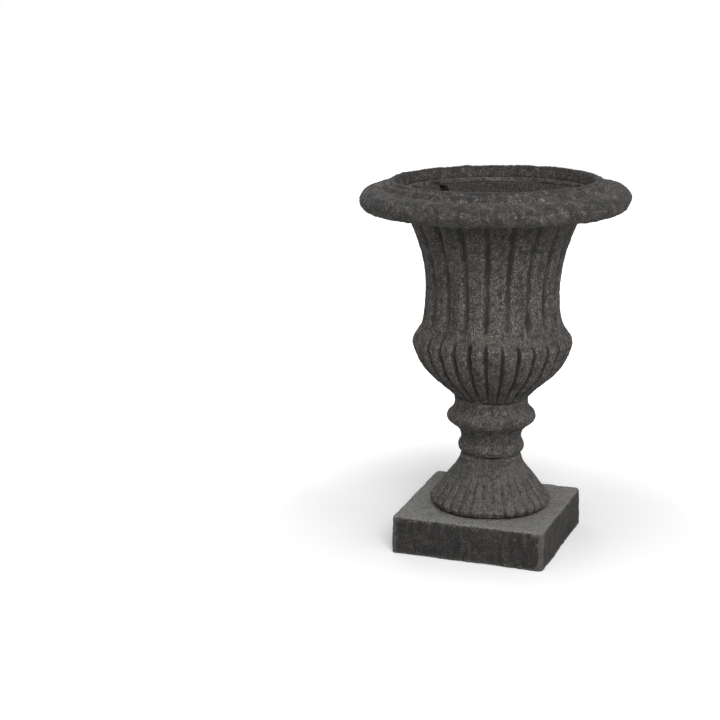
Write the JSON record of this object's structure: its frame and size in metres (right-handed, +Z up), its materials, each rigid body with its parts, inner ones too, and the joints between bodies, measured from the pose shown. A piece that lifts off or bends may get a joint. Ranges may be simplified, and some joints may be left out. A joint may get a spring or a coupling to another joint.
{
  "type": "urn planter",
  "caption": "Garden urn on a square plinth: ribbed foot, turned stem with a knop, lobed belly, fluted bell-shaped bowl and a rolled rim.",
  "frame": {"origin": "centre of the plinth's underside", "axes": "+Z up along the urn's axis; X and Y along the plinth's sides"},
  "size_m": [0.4298, 0.4298, 0.602],
  "materials": {
    "cement": "charcoal cast cement, dry-brushed, weathered",
    "mortar": "rough dark mortar",
    "galvanised_steel": "dull galvanised"
  },
  "bodies": {
    "root": {"plinth": "cement", "foot_shell": "cement", "stem_knop": "cement", "bowl_shell": "cement", "rim_ring": "cement", "lap_strip": "mortar", "foot_bed": "mortar", "stem_bed": "mortar", "bowl_bed": "mortar", "tie_rod": "galvanised_steel", "lower_washer": "galvanised_steel", "lower_nut": "galvanised_steel", "upper_washer": "galvanised_steel", "upper_nut": "galvanised_steel"}
  },
  "joints": []
}
